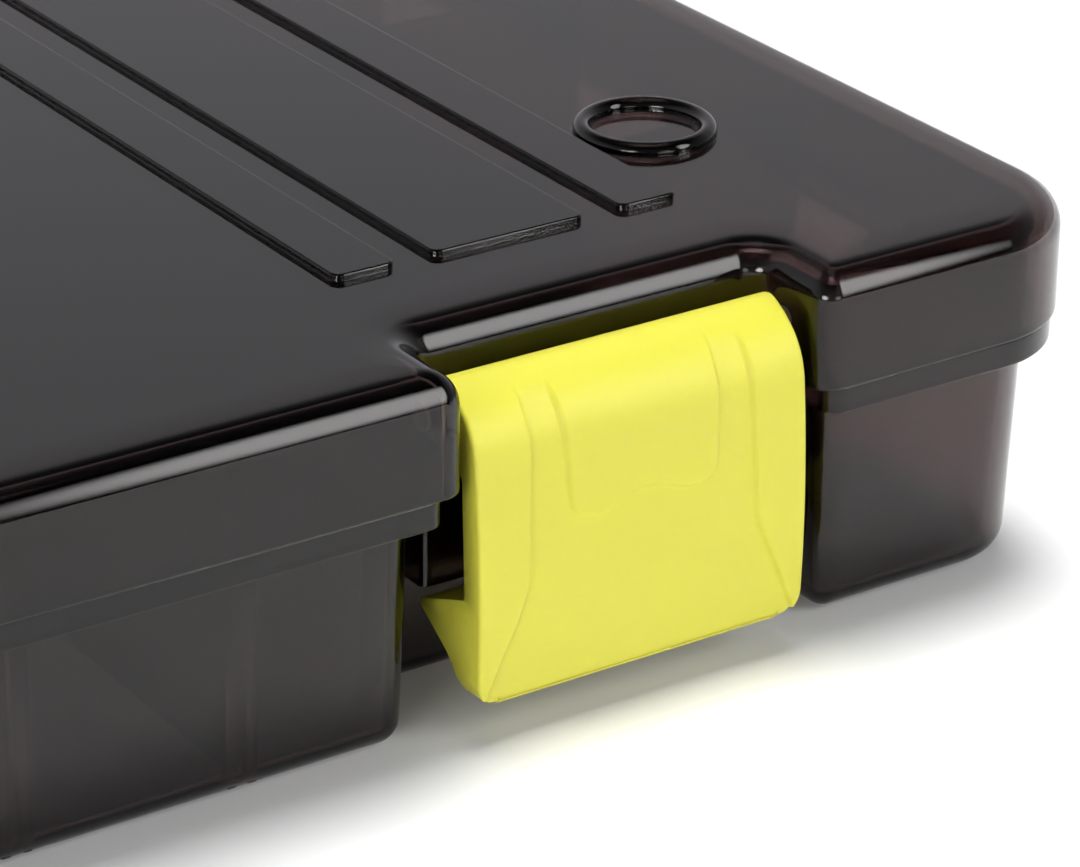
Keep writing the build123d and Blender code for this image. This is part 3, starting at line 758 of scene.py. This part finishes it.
def latch(name, x0):
    """One latch round x0. The section is carried from side to side. At each side it draws in by a
    quarter circle, and the width draws in the same way round the plate's two lower corners."""
    edge, half = SIDE_EDGE, LATCH_HALF
    ends = edge * (1 - np.cos(np.linspace(0, np.pi / 2, 7)))[:-1]
    between = np.linspace(-half + edge, half - edge, int(2 * (half - edge) / GRID))
    x = np.concatenate([-half + ends, between, half - ends[::-1]])
    z = section[:, 1]
    low = np.clip(LATCH_FOOT + LATCH_CORNER - z, 0, LATCH_CORNER)
    width = (half - LATCH_CORNER + np.sqrt(LATCH_CORNER ** 2 - low ** 2)) / half
    face = rise(on_loop + FACE_LEAD, FACE_RISE) * rise(crown - CROWN_FADE / 2 - on_loop, CROWN_FADE)
    inset = edge - np.sqrt(edge ** 2 - np.clip(edge - (half - abs(x)), 0, edge) ** 2)
    relief = sunk(x[:, None] * width, z) * rise(RELIEF_TOP - z, RELIEF_FADE)
    deep = relief + inset[:, None]
    moved = section - (face * deep)[:, :, None] * outward
    points = np.dstack([x0 + x[:, None] * width, FRONT + moved[:, :, 0], moved[:, :, 1]])
    skin = Skin()
    first, last = skin.rows(points)
    skin.fill([first], points[0, :, 1:], flip=True)
    skin.fill([last], points[-1, :, 1:])
    made = skin.piece(name, YELLOW)
    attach(made, name.replace("_plate", ""))
    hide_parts(name.replace("_plate", ""))


for name, x0 in (("latch_left_plate", -LATCH_X), ("latch_right_plate", LATCH_X)):
    latch(name, x0)

# %% [markdown]
# ## Floor, light and surroundings
# The box stands on a white table. Strong lamps could make the table white, but they would also
# bleach the yellow. So a softbox straight above lights the table and leaves a short shadow round
# the box, and further away, where its light fades, the table stays white by a glow of its own. A
# tall softbox at the right front gives the highlight along the rounded edges, and two low ones, in
# front and at the left, lift the latch without washing out the shadow. The softbox above is left
# out of mirrors, because it would cover the strips with white when seen from above. The room is
# light up to a third of the way up and dim above that, and dimmer in front of the box than behind
# it, which keeps the smooth dark plastic dark.

# %% Floor
TABLE_SIZE = 6              # metres
TABLE_BELOW = 0.0001        # a hair under the box, so that the two surfaces don't coincide


def sheet(name, width, depth, material):
    """A flat rectangle that belongs to the stage and not to the box."""
    mesh = bpy.data.meshes.new(name)
    w, d = width / 2, depth / 2
    mesh.from_pydata([(-w, -d, 0), (w, -d, 0), (w, d, 0), (-w, d, 0)], [], [(0, 1, 2, 3)])
    mesh.materials.append(material)
    made = bpy.data.objects.new(name, mesh)
    bpy.context.scene.collection.objects.link(made)
    return made


def seen_directly(tree):
    """1 for rays from the camera, from a mirror or through glass."""
    path = node(tree, "ShaderNodeLightPath").outputs
    seen = maths(tree, "MAXIMUM", path["Is Camera Ray"], path["Is Glossy Ray"])
    return maths(tree, "MAXIMUM", seen, path["Is Transmission Ray"])


table = bpy.data.materials.new("table_white")
table.use_nodes = True
shader = table.node_tree.nodes["Principled BSDF"]
shader.inputs["Base Color"].default_value = (0.90, 0.90, 0.90, 1)
shader.inputs["Roughness"].default_value = 0.9
shader.inputs["Specular IOR Level"].default_value = 0.0
shader.inputs["Emission Color"].default_value = (1, 1, 1, 1)
tree = table.node_tree
from_box = node(tree, "ShaderNodeVectorMath", operation="LENGTH")
tree.links.new(node(tree, "ShaderNodeTexCoord").outputs["Object"], from_box.inputs[0])
glow = ramp(tree, from_box.outputs["Value"], 0.2, 1.8, 0.03, 0.92)
socket(tree, shader.inputs["Emission Strength"], maths(tree, "MULTIPLY", glow, seen_directly(tree)))
sheet("table", TABLE_SIZE, TABLE_SIZE, table).location.z = -TABLE_BELOW
print("table of", TABLE_SIZE, "m")

# %% Soft lights
SOFTBOX_AWAY = 1.3          # metres from the box's right front corner
FULL_GLOW = 0.4             # share of the way to a softbox's edge that has its full strength


def softbox(name, towards, along, width, length, strength, mirrored=True):
    """A glowing oval sheet that faces the box's right front corner.

    It lies in the direction towards, its length runs in the direction along, and its glow fades
    out between FULL_GLOW of the way and its edge. One that isn't mirrored lights the box without
    a white patch in the smooth plastic.
    """
    lamp = bpy.data.materials.new(name)
    lamp.use_nodes = True
    tree = lamp.node_tree
    tree.nodes.remove(tree.nodes["Principled BSDF"])
    share = node(tree, "ShaderNodeVectorMath", operation="MULTIPLY")
    share.inputs[1].default_value = (2 / width, 2 / length, 1)
    tree.links.new(node(tree, "ShaderNodeTexCoord").outputs["Object"], share.inputs[0])
    distance = node(tree, "ShaderNodeVectorMath", operation="LENGTH")
    tree.links.new(share.outputs[0], distance.inputs[0])
    glow = ramp(tree, distance.outputs["Value"], FULL_GLOW, 1.0, strength, 0.0)
    front = maths(tree, "SUBTRACT", 1.0, node(tree, "ShaderNodeNewGeometry").outputs["Backfacing"])
    emission = node(tree, "ShaderNodeEmission")
    socket(tree, emission.inputs["Strength"], maths(tree, "MULTIPLY", glow, front))
    tree.links.new(emission.outputs[0], tree.nodes["Material Output"].inputs["Surface"])
    made = sheet(name, width, length, lamp)
    towards = Vector(towards).normalized()
    side = Vector(along).cross(-towards).normalized()
    made.rotation_euler = Matrix((side, (-towards).cross(side), -towards)).transposed().to_euler()
    made.location = Vector((LATCH_X, FRONT, LID_TOP)) * MM + towards * SOFTBOX_AWAY
    made.visible_camera = False
    made.visible_shadow = False
    made.visible_glossy = mirrored
    print(name, "of", width, "x", length, "m")


softbox("softbox_top", (0.10, 0.13, 0.98), (1, 0, 0), 0.8, 0.8, 24.0, mirrored=False)
softbox("softbox_right", (0.508, -0.72, 0.46), (0, 0.53, 0.85), 0.6, 1.4, 6.5)
softbox("softbox_front", (0.0, -0.99, 0.12), (1, 0, 0), 0.36, 0.8, 3.4)
softbox("softbox_left", (-0.85, -0.5, 0.15), (1, -2, 0), 0.4, 0.9, 14.0)

# %% Room
world = bpy.data.worlds.new("room")
bpy.context.scene.world = world
world.use_nodes = True
tree = world.node_tree
place = node(tree, "ShaderNodeSeparateXYZ")
tree.links.new(node(tree, "ShaderNodeTexCoord").outputs["Generated"], place.inputs[0])
# Height and direction below run from -1 to 1, as parts of a line of length 1 towards the room.
wall = ramp(tree, place.outputs["Z"], 0.0, 0.48, 0.74, 0.51)
above = ramp(tree, place.outputs["Z"], 0.44, 0.82, 1.0, 0.12)
behind_box = ramp(tree, place.outputs["Y"], -0.7, 0.5, 0.26, 1.0)
room = maths(tree, "MULTIPLY", maths(tree, "MULTIPLY", wall, above), behind_box)
socket(tree, tree.nodes["Background"].inputs["Strength"], room)
tree.nodes["Background"].inputs["Color"].default_value = (0.97, 0.96, 1.0, 1)
print("room of", len(tree.nodes), "nodes")
